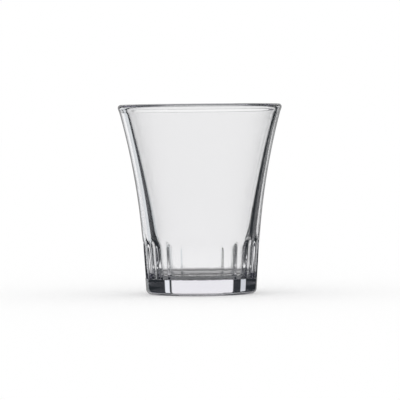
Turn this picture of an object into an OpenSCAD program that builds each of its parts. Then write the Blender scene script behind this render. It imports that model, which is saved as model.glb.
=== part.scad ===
// Cortado glass: a pressed, flared tumbler with round-topped flutes above a thick plain base.
// One piece of glass, standing on the ring under its base. Millimetres, +Z up, axis on Z.

/* [Outside] */
// Height from the standing ring to the top of the lip
glass_h = 80; // [72:0.5:90]
// Outside diameter over the lip
rim_d = 69.2; // [64:0.1:76]
// Outside diameter where the wall starts to flare
waist_d = 49.1; // [47.5:0.1:52]
// Height where the wall starts to flare
flare_h = 20; // [17:0.5:24]
// Radius of the outside flare, seen in section
flare_r = 290; // [200:2:400]
// Outside diameter of the lower wall, carried down to the standing ring
foot_d = 46.4; // [44:0.1:48.5]

/* [Well] */
// Thickness of the glass under the floor of the well
base_t = 6.8; // [5:0.1:9]
// Inside diameter of the well, carried down to its floor
well_d = 36.3; // [34:0.1:38]
// Radius of the inside wall's curve, seen in section
well_flare_r = 410; // [330:5:600]
// Radius of the corner between the floor and the wall
well_corner_r = 3; // [1:0.1:5]
// Wall thickness just under the lip
rim_wall = 2.5; // [2.2:0.1:2.7]

/* [Lip and base] */
// Diameter of the rounded bead along the lip
lip_d = 2.65; // [2.6:0.05:3]
// How far the bead stands out from the wall
lip_bulge = 0.1; // [0.05:0.01:0.15]
// Radius of the rounded edge under the base
heel_r = 2.2; // [1:0.1:3]
// Diameter of the hollow under the base
hollow_d = 34; // [28:0.5:38]
// Depth of the hollow under the base
hollow_depth = 0.6; // [0.3:0.05:1]

/* [Flutes] */
// Number of flutes round the glass
flute_n = 24; // [22:1:26]
// Radius of each flute's hollow, across the flute and over its top
flute_r = 10; // [9:0.5:12]
// Width of the land left between two flutes, at the ledge
land_w = 0.35; // [0.3:0.05:0.8]
// Height of the ledge where the flutes end
ledge_h = 6.8; // [5:0.1:8]
// Height of the flutes' round tops
flute_top_h = 22.9; // [19:0.1:26]
// Turn of the first flute about the axis, in degrees
flute_turn = 1; // [0:0.5:15]

/* [Hidden] */
$fn = 180;
// How far a cut runs past the glass
overrun = 1;

lip_r = lip_d / 2;
lip_h = glass_h - lip_r;
rim_r = rim_d / 2;

// Steps in which an outline follows a long shallow arc and a small round corner.
flare_steps = 24;
corner_steps = 8;

// Outside wall: a straight taper from foot to waist, then an arc that flares to the rim.
foot = [foot_d / 2, 0];
waist = [waist_d / 2, flare_h];
rim = [rim_r - lip_bulge, lip_h];
taper = atan2(waist.x - foot.x, waist.y - foot.y);
flare_c = arc_centre(waist, rim, flare_r);

// Inside wall: one arc from the floor to the rim.
well_foot = [well_d / 2, base_t];
well_rim = [rim.x - rim_wall, lip_h];
well_c = arc_centre(well_foot, well_rim, well_flare_r);

// Corner of the well: a circle that touches the floor and the inside wall.
corner_h = base_t + well_corner_r;
corner_reach = well_flare_r + well_corner_r;
corner_c = [well_c.x - sqrt(pow(corner_reach, 2) - pow(well_c.y - corner_h, 2)), corner_h];
corner_end = corner_c + (well_c - corner_c) * well_corner_r / corner_reach;
corner_floor = [corner_c.x, base_t];

// Rounded edge of the base: a circle that touches the standing ring and the lower wall.
heel_c = [foot.x - heel_r * (1 - sin(taper)) / cos(taper), heel_r];
heel_floor = [heel_c.x, 0];
heel_end = heel_c + heel_r * [cos(taper), -sin(taper)];

// Hollow under the base: a shallow dome.
hollow_r = (pow(hollow_d / 2, 2) + pow(hollow_depth, 2)) / (2 * hollow_depth);

// Flute cutter: a round-nosed rod laid along the lower wall, as deep as the lands allow.
ledge_r = foot.x + ledge_h * tan(taper);
flute_half_w = ledge_r * sin(180 / flute_n) - land_w / 2;
flute_depth = sagitta(ledge_r, flute_half_w) + sagitta(flute_r, flute_half_w);
flute_rise = sqrt(pow(flute_r, 2) - pow(flute_r - flute_depth, 2));
flute_start = ledge_h / cos(taper);
flute_run = flute_top_h / cos(taper) - flute_rise - flute_start;

// Centre of the circle of radius r through p and q that lies outside the wall.
function arc_centre(p, q, r) =
    let (chord = q - p, along = chord / norm(chord), half = norm(chord) / 2)
    (p + q) / 2 + sqrt(r * r - half * half) * [along.y, -along.x];

// How far an arc of radius r stands over a chord of half length h.
function sagitta(r, h) = r - sqrt(r * r - h * h);

// Points from p to q round the centre c, the shorter way.
function arc_points(c, p, q, steps) =
    let (
        start = atan2(p.y - c.y, p.x - c.x),
        sweep = atan2(q.y - c.y, q.x - c.x) - start,
        turn = sweep > 180 ? sweep - 360 : sweep < -180 ? sweep + 360 : sweep
    )
    [for (i = [0 : steps]) let (a = start + turn * i / steps) c + norm(p - c) * [cos(a), sin(a)]];

// Half section of the glass up to the middle of the lip, solid, with the hollow under its base.
module outside_section() {
    difference() {
        polygon(concat(
            [[0, 0]],
            arc_points(heel_c, heel_floor, heel_end, corner_steps),
            arc_points(flare_c, waist, rim, flare_steps),
            [[0, lip_h]]
        ));
        translate([0, hollow_depth - hollow_r]) circle(hollow_r);
    }
}

// Half section of the well, run past the lip.
module well_section() {
    polygon(concat(
        [[0, base_t]],
        arc_points(corner_c, corner_floor, corner_end, corner_steps),
        arc_points(well_c, corner_end, well_rim, flare_steps),
        [[well_rim.x, lip_h + overrun], [0, lip_h + overrun]]
    ));
}

// Half section of the glass, with the round bead on its lip.
module glass_section() {
    difference() {
        outside_section();
        well_section();
    }
    translate([rim_r - lip_r, lip_h]) circle(lip_r);
}

// One flute's hollow: a rod with a round nose, standing on the ledge.
module flute_cutter() {
    rotate_extrude() {
        square([flute_r, flute_run]);
        intersection() {
            translate([0, flute_run]) circle(flute_r);
            translate([0, flute_run]) square(flute_r);
        }
    }
}

// The glass: pressed in one piece, fluted round its lower wall.
module tumbler() {
    color("whitesmoke", 0.35)
    difference() {
        rotate_extrude() glass_section();
        for (i = [0 : flute_n - 1]) {
            rotate([0, 0, flute_turn + i * 360 / flute_n])
            translate([foot.x, 0, 0])
            rotate([0, taper, 0])
            translate([flute_r - flute_depth, 0, flute_start])
            flute_cutter();
        }
    }
}

tumbler();
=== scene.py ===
import math

import bpy
from mathutils import Matrix, Vector


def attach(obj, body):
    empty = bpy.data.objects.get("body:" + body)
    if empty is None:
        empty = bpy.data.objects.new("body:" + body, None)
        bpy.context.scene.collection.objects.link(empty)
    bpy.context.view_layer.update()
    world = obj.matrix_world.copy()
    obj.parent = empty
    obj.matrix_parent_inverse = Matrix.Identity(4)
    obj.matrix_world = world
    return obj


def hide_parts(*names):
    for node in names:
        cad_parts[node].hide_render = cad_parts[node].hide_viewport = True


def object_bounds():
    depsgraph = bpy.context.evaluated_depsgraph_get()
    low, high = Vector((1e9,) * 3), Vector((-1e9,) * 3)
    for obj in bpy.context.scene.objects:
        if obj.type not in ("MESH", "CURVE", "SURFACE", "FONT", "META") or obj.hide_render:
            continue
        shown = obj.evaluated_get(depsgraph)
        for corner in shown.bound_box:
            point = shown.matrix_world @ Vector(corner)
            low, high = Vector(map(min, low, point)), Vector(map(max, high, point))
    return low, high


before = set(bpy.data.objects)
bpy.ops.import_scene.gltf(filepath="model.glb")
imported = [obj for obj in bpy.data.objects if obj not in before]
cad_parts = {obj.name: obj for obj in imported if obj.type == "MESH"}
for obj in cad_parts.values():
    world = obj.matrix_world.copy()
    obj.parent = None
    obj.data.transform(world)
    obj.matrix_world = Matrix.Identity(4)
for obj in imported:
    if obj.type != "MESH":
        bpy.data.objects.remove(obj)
cad_low, cad_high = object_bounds()

# Tumbler
# The whole glass is one piece of clear soda-lime glass, pressed in a mould and fire-polished at
# the lip. Its section is turned about the axis, and round-nosed flutes are pressed into the wall.
GLASS_H = cad_high.z
RIM_R = cad_high.x
WAIST = Vector((0.02455, 0.0200))
FOOT = Vector((0.02320, 0.0))
FLARE_R = 0.290
BASE_T = 0.0068
WELL_FOOT = Vector((0.01815, BASE_T))
WELL_FLARE_R = 0.410
WELL_CORNER_R = 0.0030
WELL_OFF = 0.0004
RIM_WALL = 0.0025
LIP_R = 0.0013
LIP_BULGE = 0.0001
LIP_BLEND = 0.0020
HEEL_R = 0.0022
HOLLOW_R = 0.0170
HOLLOW_DEPTH = 0.0006

FLUTE_COUNT = 24
FLUTE_R = 0.0100
FLUTE_DEPTH = 0.00062
FLUTE_TURN = math.radians(1)
FLUTE_TOP = 0.0229
LEDGE_H = 0.0068
LEDGE_SOFT = 0.0002
EDGE_SOFT = 0.00006
TOP_SOFT = 0.0008

# Steps along each stretch of the section, and round each flute.
HOLLOW_STEPS = 6
STANDING_STEPS = 4
HEEL_STEPS = 10
BASE_STEPS = 4
LEDGE_STEPS = 12
FLUTE_STEPS = 34
FLUTE_TOP_STEPS = 12
WALL_STEPS = 44
LIP_STEPS = 12
CORNER_STEPS = 14
FLOOR_STEPS = 6
COLUMNS_PER_FLUTE = 18
MERGE_GAP = 1e-6

# Clear body, and a skin with long shallow waves that is duller where they are high.
GLASS_IOR = 1.52
GLASS_TINT = (0.999, 0.999, 1.0, 1)
BODY_TINT = (0.672, 0.65, 0.759, 1)
BODY_DENSITY = 10.0
WAVE_SCALE = 60
WAVE_DRAW = 0.4
WAVE_BUMP = 0.1
WAVE_HEIGHT = 0.001
DULL_FROM = 0.4
DULL_TO = 0.7
DULLEST = 0.02

# Painted dark outline at the glass's edge, from 0 where the skin is seen face on to 1 where it is seen
# edge on.
OUTLINE_SHADE_TINT = (0.02, 0.022, 0.025, 1)
EDGE_SHADE = 0.55
TINT_FROM = 0.72
TINT_TO = 0.84
EDGE_FROM = 0.78
EDGE_TO = 0.88

LIP_C = Vector((RIM_R - LIP_R, GLASS_H - LIP_R))
RIM = Vector((RIM_R - LIP_BULGE, LIP_C.y))
WELL_RIM = Vector((RIM.x - RIM_WALL, LIP_C.y))
TAPER = math.atan2(WAIST.x - FOOT.x, WAIST.y)


def arc_centre(start, end, radius):
    """Centre of the circle of that radius through both points, on the outside of the wall."""
    chord = end - start
    along = chord.normalized()
    reach = math.sqrt(radius**2 - (chord.length / 2) ** 2)
    return (start + end) / 2 + reach * Vector((along.y, -along.x))


def arc(centre, start, end, steps):
    """Points from start to end round a centre, the shorter way, both ends included."""
    first = math.atan2(start.y - centre.y, start.x - centre.x)
    turn = math.atan2(end.y - centre.y, end.x - centre.x) - first
    turn = (turn + math.pi) % (2 * math.pi) - math.pi
    radius = (start - centre).length
    angles = [first + turn * i / steps for i in range(steps + 1)]
    return [centre + radius * Vector((math.cos(a), math.sin(a))) for a in angles]


def line(start, end, steps):
    """Points from start to end along a straight line, both ends included."""
    return [start.lerp(end, i / steps) for i in range(steps + 1)]


def wall_radius(centre, radius, height):
    """How far a flared wall stands from the axis at a height."""
    return centre.x - math.sqrt(radius**2 - (centre.y - height) ** 2)


def blended(centre, radius, start_h, lip_end, steps):
    """Points up a flared wall, which swells over its last stretch to meet the bead of the lip."""
    swell = lip_end.x - wall_radius(centre, radius, lip_end.y)
    points = []
    for i in range(steps + 1):
        share = 1 - (1 - i / steps) ** 2
        height = start_h + (lip_end.y - start_h) * share
        near = max(0, 1 - (lip_end.y - height) / LIP_BLEND)
        bulge = swell * (0.5 - 0.5 * math.cos(math.pi * near))
        points.append(Vector((wall_radius(centre, radius, height) + bulge, height)))
    return points


def glass_section():
    """Half section from the axis under the base, up the outside, over the lip, down to the floor.

    Each row is a radius, how far the middle of that ring stands off the axis, and a height.
    """
    hollow_c = Vector((0, HOLLOW_DEPTH - (HOLLOW_R**2 + HOLLOW_DEPTH**2) / (2 * HOLLOW_DEPTH)))
    heel_c = Vector((FOOT.x - HEEL_R * (1 - math.sin(TAPER)) / math.cos(TAPER), HEEL_R))
    heel_end = heel_c + HEEL_R * Vector((math.cos(TAPER), -math.sin(TAPER)))
    flare_c = arc_centre(WAIST, RIM, FLARE_R)
    well_c = arc_centre(WELL_FOOT, WELL_RIM, WELL_FLARE_R)
    corner_h = BASE_T + WELL_CORNER_R
    corner_reach = WELL_FLARE_R + WELL_CORNER_R
    corner_c = Vector((wall_radius(well_c, corner_reach, corner_h), corner_h))
    corner_end = corner_c + (well_c - corner_c) * WELL_CORNER_R / corner_reach
    lean = math.asin((LIP_C.y - flare_c.y) / FLARE_R)
    lip_out = Vector((math.cos(lean), -math.sin(lean)))
    lip_outer = LIP_C + LIP_R * lip_out
    lip_inner = LIP_C - LIP_R * lip_out
    lip_top = Vector((LIP_C.x, GLASS_H))
    below_ledge = FOOT.lerp(WAIST, (LEDGE_H - LEDGE_SOFT) / WAIST.y)
    above_ledge = FOOT.lerp(WAIST, (LEDGE_H + LEDGE_SOFT) / WAIST.y)
    flute_end_h = FLUTE_TOP + LEDGE_SOFT
    flute_end = Vector((wall_radius(flare_c, FLARE_R, flute_end_h), flute_end_h))
    outside = [
        arc(hollow_c, Vector((0, HOLLOW_DEPTH)), Vector((HOLLOW_R, 0)), HOLLOW_STEPS),
        line(Vector((HOLLOW_R, 0)), Vector((heel_c.x, 0)), STANDING_STEPS),
        arc(heel_c, Vector((heel_c.x, 0)), heel_end, HEEL_STEPS),
        line(heel_end, below_ledge, BASE_STEPS),
        line(below_ledge, above_ledge, LEDGE_STEPS),
        line(above_ledge, WAIST, FLUTE_STEPS),
        arc(flare_c, WAIST, flute_end, FLUTE_TOP_STEPS),
        blended(flare_c, FLARE_R, flute_end.y, lip_outer, WALL_STEPS),
        arc(LIP_C, lip_outer, lip_top, LIP_STEPS),
    ]
    inside = [
        arc(LIP_C, lip_top, lip_inner, LIP_STEPS),
        blended(well_c, WELL_FLARE_R, corner_end.y, lip_inner, WALL_STEPS)[::-1],
        arc(corner_c, corner_end, Vector((corner_c.x, BASE_T)), CORNER_STEPS),
        line(Vector((corner_c.x, BASE_T)), Vector((0, BASE_T)), FLOOR_STEPS),
    ]
    rows = [(0, 0, HOLLOW_DEPTH)]
    for stretch in outside:
        rows += [(p.x, 0, p.y) for p in stretch[1:]]
    for i, p in enumerate(p for stretch in inside for p in stretch[1:]):
        rows.append((p.x, WELL_OFF * min(1, (i + 1) / LIP_STEPS), p.y))
    return rows


def add_node(tree, kind, inputs=None, **settings):
    """A node with its settings and inputs, where an input is a socket to link or a plain value."""
    made = tree.nodes.new(kind)
    for name, value in settings.items():
        setattr(made, name, value)
    for key, value in (inputs or {}).items():
        if isinstance(value, bpy.types.NodeSocket):
            tree.links.new(value, made.inputs[key])
        else:
            made.inputs[key].default_value = value
    return made


def add_math(tree, operation, *values):
    """The result of one step of maths on sockets or plain numbers."""
    return add_node(tree, "ShaderNodeMath", dict(enumerate(values)), operation=operation).outputs[0]


def add_ramp(tree, value, start, end, top=1, curve="SMOOTHSTEP"):
    """A value that goes from 0 at start to top at end, and stays level past both."""
    limits = {"Value": value, "From Min": start, "From Max": end, "To Max": top}
    return add_node(tree, "ShaderNodeMapRange", limits, interpolation_type=curve).outputs[0]


def add_mix(tree, share, first, second):
    """A colour between two, the second where the share is 1."""
    inputs = {0: share, 6: first, 7: second}
    return add_node(tree, "ShaderNodeMix", inputs, data_type="RGBA").outputs[2]


def add_input(tree, name, kind, value=None):
    """A named input of a node tree, with its default."""
    made = tree.interface.new_socket(name=name, in_out="INPUT", socket_type=kind)
    if value is not None:
        made.default_value = value


def turned_glass_tree():
    """Geometry nodes that turn the section about the axis and press the flutes into the wall."""
    tree = bpy.data.node_groups.new("turned_glass", "GeometryNodeTree")
    add_input(tree, "Section", "NodeSocketGeometry")
    add_input(tree, "Flutes", "NodeSocketInt", FLUTE_COUNT)
    add_input(tree, "Columns", "NodeSocketInt", FLUTE_COUNT * COLUMNS_PER_FLUTE)
    add_input(tree, "Flute Radius", "NodeSocketFloat", FLUTE_R)
    add_input(tree, "Flute Depth", "NodeSocketFloat", FLUTE_DEPTH)
    add_input(tree, "Flute Top", "NodeSocketFloat", FLUTE_TOP)
    add_input(tree, "Flute Turn", "NodeSocketFloat", FLUTE_TURN)
    add_input(tree, "Ledge Height", "NodeSocketFloat", LEDGE_H)
    add_input(tree, "Ledge Softness", "NodeSocketFloat", LEDGE_SOFT)
    add_input(tree, "Edge Softness", "NodeSocketFloat", EDGE_SOFT)
    add_input(tree, "Top Softness", "NodeSocketFloat", TOP_SOFT)
    add_input(tree, "Foot Radius", "NodeSocketFloat", FOOT.x)
    add_input(tree, "Wall Slope", "NodeSocketFloat", math.tan(TAPER))
    add_input(tree, "Glass", "NodeSocketMaterial")
    tree.interface.new_socket(name="Tumbler", in_out="OUTPUT", socket_type="NodeSocketGeometry")
    given = tree.nodes.new("NodeGroupInput").outputs

    def calc(operation, *values):
        return add_math(tree, operation, *values)

    # A flat grid of unit size, with a row for each point of the section and a column for each step round.
    size = add_node(tree, "GeometryNodeAttributeDomainSize", {"Geometry": given["Section"]})
    row_count = size.outputs["Point Count"]
    grid = add_node(tree, "GeometryNodeMeshGrid", {
        "Size X": 1.0,
        "Size Y": 1.0,
        "Vertices X": row_count,
        "Vertices Y": calc("ADD", given["Columns"], 1),
    })
    place = add_node(tree, "GeometryNodeInputPosition").outputs[0]
    flat = add_node(tree, "ShaderNodeSeparateXYZ", {0: place})
    down_grid = calc("ADD", flat.outputs["X"], 0.5)
    row = calc("ROUND", calc("MULTIPLY", down_grid, calc("SUBTRACT", row_count, 1)))
    angle = calc("MULTIPLY_ADD", flat.outputs["Y"], -2 * math.pi, given["Flute Turn"])
    sampled = add_node(
        tree, "GeometryNodeSampleIndex",
        {"Geometry": given["Section"], "Value": place, "Index": row},
        data_type="FLOAT_VECTOR", domain="POINT",
    )
    section = add_node(tree, "ShaderNodeSeparateXYZ", {0: sampled.outputs["Value"]})
    radius = section.outputs["X"]
    height = section.outputs["Z"]

    # How far a round-nosed hollow, laid along the wall, stands inside the wall at this place.
    wall = calc("MULTIPLY_ADD", height, given["Wall Slope"], given["Foot Radius"])
    reach = calc("ADD", calc("SUBTRACT", wall, given["Flute Depth"]), given["Flute Radius"])
    half_pitch = calc("DIVIDE", math.pi, given["Flutes"])
    unturned = calc("SUBTRACT", angle, given["Flute Turn"])
    off = calc("WRAP", unturned, half_pitch, calc("MULTIPLY", half_pitch, -1))
    across = calc("MULTIPLY", reach, calc("SINE", off))
    squared = calc("MULTIPLY", given["Flute Radius"], given["Flute Radius"])
    floor_gap = calc("SUBTRACT", given["Flute Radius"], given["Flute Depth"])
    nose_rise = calc("SQRT", calc("SUBTRACT", squared, calc("MULTIPLY", floor_gap, floor_gap)))
    nose_start = calc("SUBTRACT", given["Flute Top"], nose_rise)
    nose = calc("MAXIMUM", calc("SUBTRACT", height, nose_start), 0)
    used = calc("ADD", calc("MULTIPLY", across, across), calc("MULTIPLY", nose, nose))
    depth = calc("SQRT", calc("MAXIMUM", calc("SUBTRACT", squared, used), 0))
    cut = calc("SUBTRACT", calc("MULTIPLY", reach, calc("COSINE", off)), depth)
    up_nose = calc("DIVIDE", nose, nose_rise)
    soft = calc("MULTIPLY_ADD", up_nose, given["Top Softness"], given["Edge Softness"])
    pressed = calc("SMOOTH_MIN", calc("SUBTRACT", cut, wall), 0, soft)

    # The flutes end on a ledge, and only the outside wall has them.
    half_soft = calc("MULTIPLY", given["Ledge Softness"], 0.5)
    ledge_low = calc("SUBTRACT", given["Ledge Height"], half_soft)
    ledge_high = calc("ADD", given["Ledge Height"], half_soft)
    over = add_ramp(tree, height, ledge_low, ledge_high)
    outside = calc("COMPARE", radius, wall, given["Flute Depth"])
    turned = calc("ADD", radius, calc("MULTIPLY", calc("MULTIPLY", pressed, over), outside))
    spot = add_node(tree, "ShaderNodeCombineXYZ", {
        0: calc("MULTIPLY_ADD", turned, calc("COSINE", angle), section.outputs["Y"]),
        1: calc("MULTIPLY", turned, calc("SINE", angle)),
        2: height,
    }).outputs[0]
    moved = add_node(tree, "GeometryNodeSetPosition", {"Geometry": grid.outputs["Mesh"], "Position": spot})
    joined = add_node(
        tree, "GeometryNodeMergeByDistance", {"Geometry": moved.outputs[0], "Distance": MERGE_GAP},
    )
    smooth = add_node(tree, "GeometryNodeSetShadeSmooth", {"Geometry": joined.outputs[0]})
    real = add_node(tree, "GeometryNodeRealizeInstances", {"Geometry": smooth.outputs[0]})
    dressed = add_node(
        tree, "GeometryNodeSetMaterial", {"Geometry": real.outputs[0], "Material": given["Glass"]},
    )
    add_node(tree, "NodeGroupOutput", {0: dressed.outputs[0]})
    return tree


def clear_glass():
    """Clear soda-lime glass: a fire-polished skin with the faint waves that a mould leaves."""
    material = bpy.data.materials.new("clear_glass")
    material.use_nodes = True
    tree = material.node_tree
    skin = tree.nodes["Principled BSDF"]
    end = tree.nodes["Material Output"]
    skin.inputs["Transmission Weight"].default_value = 1
    skin.inputs["IOR"].default_value = GLASS_IOR

    # The mould leaves long shallow waves, and the polish is a little duller in some of them.
    place = add_node(tree, "ShaderNodeTexCoord").outputs["Object"]
    stretch = (1, 1, WAVE_DRAW)
    drawn = add_node(tree, "ShaderNodeMapping", {"Vector": place, "Scale": stretch}).outputs[0]
    noise = {"Vector": drawn, "Scale": WAVE_SCALE, "Detail": 1}
    waves = add_node(tree, "ShaderNodeTexNoise", noise).outputs[0]
    bump = {"Strength": WAVE_BUMP, "Distance": WAVE_HEIGHT, "Height": waves}
    tree.links.new(add_node(tree, "ShaderNodeBump", bump).outputs[0], skin.inputs["Normal"])
    dull = add_ramp(tree, waves, DULL_FROM, DULL_TO, DULLEST, "LINEAR")
    tree.links.new(dull, skin.inputs["Roughness"])

    # Seen edge on, the skin gets a dark tint and, outside, a dark matt share: a painted dark outline.
    edge_on = add_node(tree, "ShaderNodeLayerWeight", {"Blend": 0.5}).outputs["Facing"]
    outline_shaded_tint = add_mix(tree, add_ramp(tree, edge_on, TINT_FROM, TINT_TO), GLASS_TINT, OUTLINE_SHADE_TINT)
    tree.links.new(outline_shaded_tint, skin.inputs["Base Color"])
    within = add_node(tree, "ShaderNodeNewGeometry").outputs["Backfacing"]
    outer = add_math(tree, "SUBTRACT", 1, within)
    edge = add_math(tree, "MULTIPLY", add_ramp(tree, edge_on, EDGE_FROM, EDGE_TO), EDGE_SHADE)
    share = add_math(tree, "MULTIPLY", edge, outer)
    painted_outline = add_node(tree, "ShaderNodeBsdfDiffuse", {"Color": OUTLINE_SHADE_TINT})
    both = add_node(tree, "ShaderNodeMixShader", {0: share, 1: skin.outputs[0], 2: painted_outline.outputs[0]})
    tree.links.new(both.outputs[0], end.inputs["Surface"])
    body = add_node(tree, "ShaderNodeVolumeAbsorption", {"Color": BODY_TINT, "Density": BODY_DENSITY})
    tree.links.new(body.outputs[0], end.inputs["Volume"])
    return material


def tumbler():
    """The section as a plain line of points, turned and fluted by the node tree, then made a mesh."""
    section = bpy.data.meshes.new("tumbler")
    points = glass_section()
    section.from_pydata(points, [(i, i + 1) for i in range(len(points) - 1)], [])
    piece = bpy.data.objects.new("tumbler_glass", section)
    bpy.context.scene.collection.objects.link(piece)
    tree = turned_glass_tree()
    turning = piece.modifiers.new("turning", "NODES")
    turning.node_group = tree
    sockets = {item.name: item.identifier for item in tree.interface.items_tree}
    turning[sockets["Glass"]] = clear_glass()
    bpy.context.view_layer.update()
    shown = piece.evaluated_get(bpy.context.evaluated_depsgraph_get())
    mesh = bpy.data.meshes.new_from_object(shown)
    piece.modifiers.clear()
    piece.data = mesh
    mesh.name = "tumbler_glass"
    return piece


glass = tumbler()
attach(glass, "root")
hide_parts("tumbler")

# Camera
# A long lens a little above the lip, turned a little about its own axis as the photograph is.
PHOTO_PX = 400
METRES_PER_PX = 0.0004223
CAMERA_FAR = 1.76
CAMERA_HIGH = 0.0930
CAMERA_ROLL = math.radians(-0.55)
CAMERA_REACH = 50
AIM = Vector((-0.00025, 0, 0.03955))

lens = bpy.data.cameras.new("camera")
camera = bpy.data.objects.new("camera", lens)
bpy.context.scene.collection.objects.link(camera)
stand = Vector((AIM.x, -CAMERA_FAR, CAMERA_HIGH))
look = AIM - stand
turn = look.to_track_quat("-Z", "Y").to_matrix() @ Matrix.Rotation(CAMERA_ROLL, 3, "Z")
camera.matrix_world = Matrix.Translation(stand) @ turn.to_4x4()
lens.lens = lens.sensor_width * look.length / (PHOTO_PX * METRES_PER_PX)
lens.clip_end = CAMERA_REACH
bpy.context.scene.camera = camera

# Floor
# A plain floor of matt white paper at the height of the standing ring, with the soft shadow of
# the glass. What the glass shows of the floor is the shade and the sheet that follow.
FLOOR_HALF = 4.0
FLOOR_PALE = 0.9


def blank_material(name):
    """A new material with no nodes, and its node tree."""
    material = bpy.data.materials.new(name)
    material.use_nodes = True
    material.node_tree.nodes.clear()
    return material, material.node_tree


def add_stage(name, mesh, unseen_by):
    """A piece of the studio that the named kinds of ray pass by."""
    made = bpy.data.objects.new(name, mesh)
    bpy.context.scene.collection.objects.link(made)
    for kind in unseen_by:
        setattr(made, f"visible_{kind}", False)
    return made


def floor_material():
    """Matt white paper, brought up to white for the camera, with the shadow left in it."""
    material, tree = blank_material("floor")
    path = add_node(tree, "ShaderNodeLightPath")
    matt = add_node(tree, "ShaderNodeBsdfDiffuse", {"Color": (FLOOR_PALE, FLOOR_PALE, FLOOR_PALE, 1)})
    lift = add_math(tree, "MULTIPLY", path.outputs["Is Camera Ray"], 1 - FLOOR_PALE)
    glow = add_node(tree, "ShaderNodeEmission", {"Strength": lift})
    both = add_node(tree, "ShaderNodeAddShader", {0: matt.outputs[0], 1: glow.outputs[0]})
    add_node(tree, "ShaderNodeOutputMaterial", {0: both.outputs[0]})
    return material


def floor():
    """A square of paper that reaches well past the glass on every side."""
    mesh = bpy.data.meshes.new("floor")
    signs = ((-1, -1), (1, -1), (1, 1), (-1, 1))
    mesh.from_pydata([(x * FLOOR_HALF, y * FLOOR_HALF, 0) for x, y in signs], [], [(0, 1, 2, 3)])
    mesh.materials.append(floor_material())
    add_stage("floor", mesh, ("transmission", "glossy"))


floor()

# Floor shade
# A grey disc of painted shade just under the floor, which only rays through the glass meet. Behind the
# glass it holds painted rings of light and shade. It stands for the shade round the foot of the glass,
# and gives the floor of the well its grey band.
SHADE_DROP = 0.0002
SHADE_TONE = (0.18, 0.185, 0.19, 1)
UNDER_SHADOW_TONE = (0.03, 0.03, 0.03, 1)
PALE_TONE = (0.80, 0.80, 0.81, 1)
CIRCLE_SIDES = 64

# Where the shade changes, as distances from the axis, and for near and far as distances behind it.
SHADE_IN = 0.030
SHADE_OUT = 0.110
UNDER_IN = 0.0130
UNDER_OUT = 0.0145
AHEAD_PALE = 0.028
BACK_NEAR = -0.002
BACK_FAR = 0.012
BACK_IN = 0.020
BACK_OUT = 0.024

# Directions from the axis, as a share of straight back: 1 is straight back and -1 straight ahead.
BEHIND_FROM = 0.70
BEHIND_TO = 0.88
AHEAD_FROM = 0.1
AHEAD_TO = -0.3

# Painted light and shade of the floor behind the glass, in rings by its distance from the axis.
LIGHT_AND_SHADE_RINGS = (
    (0.0000, 0.03),
    (0.0225, 0.03),
    (0.0238, 0.52),
    (0.0250, 0.52),
    (0.0264, 0.37),
    (0.0312, 0.43),
    (0.0330, 0.58),
    (0.0345, 0.58),
    (0.0365, 0.18),
    (0.0405, 0.05),
    (0.0450, 0.03),
    (0.0550, 0.06),
    (0.0650, 0.20),
)


def circle(radius, height):
    """Points round a level circle about the axis."""
    turns = [2 * math.pi * i / CIRCLE_SIDES for i in range(CIRCLE_SIDES)]
    return [(radius * math.cos(a), radius * math.sin(a), height) for a in turns]


def add_glow(tree, cover, tone):
    """A sheet that glows in a tone and is clear where its cover is 0."""
    clear = add_node(tree, "ShaderNodeBsdfTransparent")
    glow = add_node(tree, "ShaderNodeEmission", {"Color": tone, "Strength": 1.0})
    both = add_node(tree, "ShaderNodeMixShader", {0: cover, 1: clear.outputs[0], 2: glow.outputs[0]})
    add_node(tree, "ShaderNodeOutputMaterial", {0: both.outputs[0]})


def shade_material():
    """Painted rings of light and shade behind the glass, and plain painted shade under and beside it,
    all gone further out.
    """
    material, tree = blank_material("floor_shade")
    place = add_node(tree, "ShaderNodeTexCoord").outputs["Object"]
    away = add_node(tree, "ShaderNodeVectorMath", {0: place}, operation="LENGTH").outputs["Value"]
    back = add_node(tree, "ShaderNodeSeparateXYZ", {0: place}).outputs["Y"]
    toward = add_node(tree, "ShaderNodeVectorMath", {0: place}, operation="NORMALIZE").outputs[0]
    backward = add_node(tree, "ShaderNodeSeparateXYZ", {0: toward}).outputs["Y"]

    rings = add_node(tree, "ShaderNodeValToRGB", {"Fac": add_math(tree, "DIVIDE", away, SHADE_OUT)})
    stops = rings.color_ramp.elements
    while len(stops) < len(LIGHT_AND_SHADE_RINGS):
        stops.new(1)
    for stop, (distance, tone) in zip(stops, LIGHT_AND_SHADE_RINGS):
        stop.position = distance / SHADE_OUT
        stop.color = (tone, tone, tone, 1)

    # Painted shade lies under the front of the base and beside the foot, darkest near the axis. Ahead of
    # the foot the floor is pale, and so it is under the back of the base.
    beyond_under = add_ramp(tree, away, UNDER_IN, UNDER_OUT, curve="LINEAR")
    plain = add_mix(tree, beyond_under, UNDER_SHADOW_TONE, SHADE_TONE)
    beyond_foot = add_ramp(tree, away, FOOT.x, AHEAD_PALE, curve="LINEAR")
    ahead = add_math(tree, "MULTIPLY", beyond_foot, add_ramp(tree, backward, AHEAD_FROM, AHEAD_TO))
    front = add_mix(tree, ahead, plain, PALE_TONE)
    behind = add_ramp(tree, backward, BEHIND_FROM, BEHIND_TO)
    shade = add_mix(tree, behind, front, rings.outputs["Color"])
    under_base = add_ramp(tree, away, BACK_OUT, BACK_IN)
    under_back = add_math(tree, "MULTIPLY", add_ramp(tree, back, BACK_NEAR, BACK_FAR), under_base)
    cover = add_ramp(tree, away, SHADE_OUT, SHADE_IN, curve="LINEAR")
    add_glow(tree, cover, add_mix(tree, under_back, shade, PALE_TONE))
    return material


def floor_shade():
    """The grey disc, centred under the glass."""
    mesh = bpy.data.meshes.new("floor_shade")
    mesh.from_pydata(circle(SHADE_OUT, 0), [], [list(range(CIRCLE_SIDES))])
    mesh.materials.append(shade_material())
    made = add_stage("floor_shade", mesh, ("camera", "glossy", "diffuse", "shadow"))
    made.location.z = -SHADE_DROP


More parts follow.
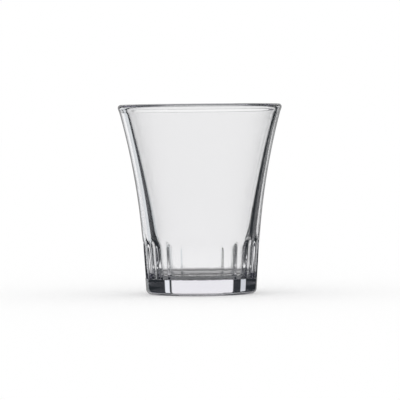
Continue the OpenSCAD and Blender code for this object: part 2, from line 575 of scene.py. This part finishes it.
floor_shade()

# Floor sheet
# A pale sheet that slopes from the wall, just over the base, down to the floor. Only rays through
# the glass meet it, and from above it hides the shade, so that the glass looks clear from there.
SHEET_H = 0.0098
SHEET_IN = 0.0245
SHEET_FULL = 0.0280
SHEET_FADE = 0.0400
SHEET_OUT = 0.0800
SHEET_TONE = (0.90, 0.90, 0.905, 1)


def sheet_material():
    """A pale top and a clear underside, faded out over both of its edges."""
    material, tree = blank_material("floor_sheet")
    place = add_node(tree, "ShaderNodeTexCoord").outputs["Object"]
    away = add_node(tree, "ShaderNodeVectorMath", {0: place}, operation="LENGTH").outputs["Value"]
    inner = add_ramp(tree, away, SHEET_IN, SHEET_FULL)
    outer = add_ramp(tree, away, SHEET_OUT, SHEET_FADE)
    under = add_node(tree, "ShaderNodeNewGeometry").outputs["Backfacing"]
    top = add_math(tree, "SUBTRACT", 1, under)
    add_glow(tree, add_math(tree, "MULTIPLY", add_math(tree, "MULTIPLY", inner, outer), top), SHEET_TONE)
    return material


def floor_sheet():
    """The sloping sheet, as a ring of flat faces."""
    mesh = bpy.data.meshes.new("floor_sheet")
    faces = []
    for i in range(CIRCLE_SIDES):
        after = (i + 1) % CIRCLE_SIDES
        faces.append((i, CIRCLE_SIDES + i, CIRCLE_SIDES + after, after))
    mesh.from_pydata(circle(SHEET_IN, 0) + circle(SHEET_OUT, -SHEET_H), [], faces)
    mesh.materials.append(sheet_material())
    made = add_stage("floor_sheet", mesh, ("camera", "glossy", "diffuse", "shadow"))
    made.location.z = SHEET_H


floor_sheet()

# Cards
# The white backdrop that clear glass needs behind it, with grey and white cards below and beside
# it. They hang from the camera, so that each view is lit alike, and only the glass shows them.


def card_material(name, edges, soft, tone):
    """A glowing sheet that fades out over its edges, given in its own plane."""
    material, tree = blank_material(name)
    place = add_node(tree, "ShaderNodeTexCoord").outputs["Object"]
    split = add_node(tree, "ShaderNodeSeparateXYZ", {0: place}).outputs
    left, right, low, high = edges
    across = add_math(
        tree, "MULTIPLY",
        add_ramp(tree, split["X"], left, left + soft), add_ramp(tree, split["X"], right, right - soft),
    )
    up = add_math(
        tree, "MULTIPLY",
        add_ramp(tree, split["Y"], low, low + soft), add_ramp(tree, split["Y"], high, high - soft),
    )
    add_glow(tree, add_math(tree, "MULTIPLY", across, up), (*tone, 1))
    return material


def card(name, left, right, low, high, soft, far, tone):
    """A card some way behind the glass, its edges given in degrees as the glass sees them."""
    edges = [far * math.tan(math.radians(a)) for a in (left, right, low, high)]
    x0, x1, y0, y1 = edges
    mesh = bpy.data.meshes.new(name)
    mesh.from_pydata([(x0, y0, 0), (x1, y0, 0), (x1, y1, 0), (x0, y1, 0)], [], [(0, 1, 2, 3)])
    mesh.materials.append(card_material(name, edges, far * math.radians(soft), tone))
    made = add_stage(name, mesh, ("camera", "diffuse", "shadow"))
    made.parent = camera
    made.location.z = -look.length - far


card("backdrop", left=-25.4, right=23.6, low=-27, high=30, soft=1.5, far=3.0, tone=(1.0, 1.0, 1.0))
card("floor_back", left=-25.4, right=23.6, low=-62, high=-24, soft=1.5, far=3.05, tone=(0.34, 0.35, 0.36))
card("left_sweep", left=-39, right=-20, low=-45, high=-1, soft=2, far=3.1, tone=(0.77, 0.80, 0.82))
card("left_strip", left=-41.8, right=-33.3, low=-1, high=14, soft=1.2, far=3.2, tone=(0.74, 0.77, 0.79))
card("right_strip", left=24.5, right=30.6, low=-1, high=24, soft=1.2, far=3.2, tone=(0.96, 0.99, 1.0))

# Room light
# Even white light from all round, and white behind the floor for the camera. The glass shows the
# dark room past the cards, which draws its edges.
WHITE = (1, 1, 1, 1)
DARK_ROOM = (0.022, 0.026, 0.029, 1)
LIGHT_BOUNCES = 32

world = bpy.data.worlds.new("studio")
bpy.context.scene.world = world
world.use_nodes = True
sky = world.node_tree
sky.nodes.clear()
path = add_node(sky, "ShaderNodeLightPath").outputs
kinds = {0: path["Is Camera Ray"], 1: path["Diffuse Depth"]}
lit = add_node(sky, "ShaderNodeMath", kinds, operation="ADD", use_clamp=True)
tone = add_mix(sky, lit.outputs[0], DARK_ROOM, WHITE)
air = add_node(sky, "ShaderNodeBackground", {"Color": tone, "Strength": 1.0})
add_node(sky, "ShaderNodeOutputWorld", {0: air.outputs[0]})

scene = bpy.context.scene
scene.view_settings.view_transform = "Standard"
scene.cycles.max_bounces = LIGHT_BOUNCES
scene.cycles.transmission_bounces = LIGHT_BOUNCES
scene.cycles.glossy_bounces = LIGHT_BOUNCES
